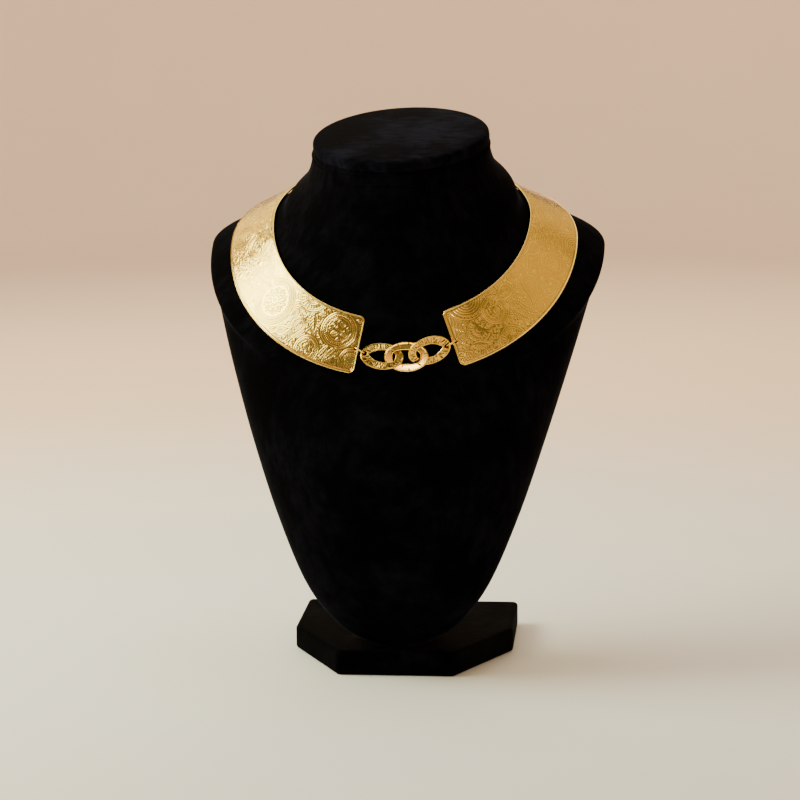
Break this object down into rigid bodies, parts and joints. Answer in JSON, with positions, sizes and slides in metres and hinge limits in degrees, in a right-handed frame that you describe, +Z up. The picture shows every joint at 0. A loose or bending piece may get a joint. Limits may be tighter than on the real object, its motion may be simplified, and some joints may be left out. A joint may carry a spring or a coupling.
{
  "type": "collar choker necklace on neck bust",
  "caption": "Stiff collar choker of bent, embossed gold plates joined at the front by interlocked oval links, worn by a velvet neck bust with a flat foot.",
  "frame": {"origin": "on the ground, under the centre of the whole piece", "axes": "+Z up the neck, the chest faces -Y, +X to the right of someone who looks at the chest"},
  "size_m": [0.204, 0.1395, 0.2771],
  "materials": {
    "embossed_gold": "embossed sheet, gold plated and polished on the raised lines",
    "link_gold": "stamped flat links, gold plated, with engraved hatching",
    "wire_gold": "plain gold plated, polished",
    "velvet": "short black velvet pile over a moulded form"
  },
  "bodies": {
    "root": {"left_plate": "embossed_gold", "right_plate": "embossed_gold", "left_link": "link_gold", "middle_link": "link_gold", "right_link": "link_gold", "left_jump_ring": "wire_gold", "right_jump_ring": "wire_gold", "back_clasp": "wire_gold", "bust_form": "velvet", "neck_cap": "velvet", "bust_foot": "velvet"}
  },
  "joints": []
}
